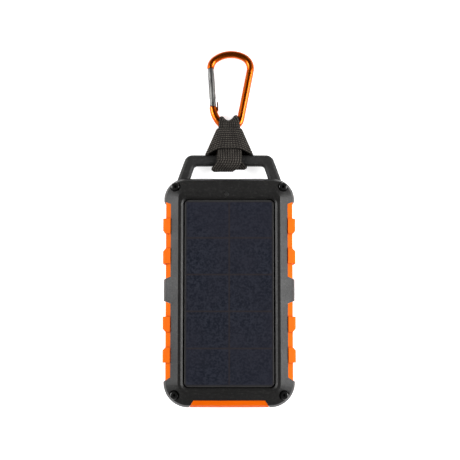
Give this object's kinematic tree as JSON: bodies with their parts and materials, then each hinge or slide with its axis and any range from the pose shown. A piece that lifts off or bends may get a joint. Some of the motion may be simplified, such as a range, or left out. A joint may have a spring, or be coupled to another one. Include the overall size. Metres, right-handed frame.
{
  "type": "solar phone charger",
  "caption": "Rugged pocket battery case with a solar panel face, rear lamp, covered charging ports, a moulded handle, and a webbing lanyard with a spring-gate carabiner.",
  "frame": {"origin": "centre of the flat back face of the case, on the surface it rests on", "axes": "+Z out of the solar panel, +Y towards the handle and carabiner, +X to the right seen from the panel side"},
  "size_m": [0.0834, 0.2304, 0.0241],
  "materials": {
    "case_black": "fine moulded texture",
    "frame_black": "fine moulded texture, semi matt bevels",
    "bumper_orange": "satin moulded elastomer",
    "cover_orange": "satin moulded elastomer",
    "seal_rubber": "smooth",
    "screw_black": "black oxide, glossy",
    "insert_brass": "knurled",
    "backsheet_black": "laminate",
    "cell_silicon": "dark silicon",
    "ribbon_tin": "tinned",
    "panel_film": "fine frosted film over dark cells",
    "adhesive_foam": "foam tape",
    "pad_foam": "closed-cell foam",
    "battery_pouch": "pouch foil",
    "board_green": "solder mask",
    "steel_plain": "plain",
    "tongue_plastic": "moulded",
    "chip_black": "moulded epoxy",
    "capacitor_can": "plain can",
    "led_white": "phosphor",
    "clear_plastic": "frosted clear",
    "button_black": "satin",
    "lens_frosted": "frosted diffuser",
    "reflector_silver": "metallised",
    "wire_red": "insulation",
    "wire_black": "insulation",
    "plate_grey": "blank plate",
    "webbing_black": "woven flat webbing",
    "anodised_orange": "bright orange anodised",
    "gate_silver": "brushed"
  },
  "bodies": {
    "case": {"back_shell": "case_black", "front_frame": "frame_black", "bumper_right_upper": "bumper_orange", "bumper_right_lower": "bumper_orange", "bumper_left_upper": "bumper_orange", "bumper_left_lower": "bumper_orange", "case_seal": "seal_rubber", "case_screws": "screw_black", "screw_inserts": "insert_brass", "solar_backsheet": "backsheet_black", "solar_cells": "cell_silicon", "cell_ribbons": "ribbon_tin", "solar_film": "panel_film", "panel_adhesive": "adhesive_foam", "panel_support_pad": "pad_foam", "battery_pad": "pad_foam", "battery_cells": "battery_pouch", "protection_board": "board_green", "main_board": "board_green", "board_screws": "steel_plain", "usb_a_shells": "steel_plain", "usb_a_tongues": "tongue_plastic", "usb_c_shell": "steel_plain", "usb_c_tongue": "tongue_plastic", "control_chips": "chip_black", "power_inductors": "chip_black", "smoothing_capacitors": "capacitor_can", "indicator_leds": "led_white", "light_pipes": "clear_plastic", "port_cover_pin": "steel_plain", "switch_body": "chip_black", "switch_board": "board_green", "lamp_lens": "lens_frosted", "lamp_reflector": "reflector_silver", "lamp_leds": "led_white", "lamp_board": "board_green", "charge_led": "led_white", "charge_light_pipe": "clear_plastic", "solar_leads": "wire_red", "battery_leads": "wire_red", "lamp_leads": "wire_black", "rating_plate": "plate_grey"},
    "cover": {"port_cover": "cover_orange"},
    "button": {"power_button": "button_black", "switch_plunger": "tongue_plastic"},
    "lanyard": {"lanyard_hitch": "webbing_black"},
    "strap_loop": {"lanyard_loop": "webbing_black"},
    "clip": {"carabiner_body": "anodised_orange"},
    "gate": {"carabiner_gate": "gate_silver", "gate_rivet": "gate_silver", "gate_pin": "gate_silver", "gate_plunger": "steel_plain", "gate_spring": "steel_plain"}
  },
  "joints": [
    {"name": "lanyard_swing", "type": "hinge", "parent": "case", "child": "lanyard", "pos_m": [0, 0.0847, 0.008], "axis": [1, 0, 0], "range_deg": [-100, 100]},
    {"name": "strap_bend", "type": "hinge", "parent": "lanyard", "child": "strap_loop", "pos_m": [0, 0.1024, 0.0046], "axis": [1, 0, 0], "range_deg": [-70, 70]},
    {"name": "carabiner_turn", "type": "hinge", "parent": "strap_loop", "child": "clip", "pos_m": [0.0002, 0.11433, 0.00417], "axis": [0, 0.0436, 0.999], "range_deg": [-10, 10]},
    {"name": "gate_open", "type": "hinge", "parent": "clip", "child": "gate", "pos_m": [-0.01063, 0.12313, 0.00378], "axis": [0, 0.0436, 0.999], "range_deg": [-26, 0], "stiffness_Nm_per_rad": 0.06, "springref_deg": 20.05},
    {"name": "port_cover_open", "type": "hinge", "parent": "case", "child": "cover", "pos_m": [0, -0.06968, 0.00494], "axis": [1, 0, 0], "range_deg": [0, 95]},
    {"name": "power_button_press", "type": "slide", "parent": "case", "child": "button", "axis": [-1, 0, 0], "range_m": [0, 0.0005], "stiffness_N_per_m": 1500}
  ]
}
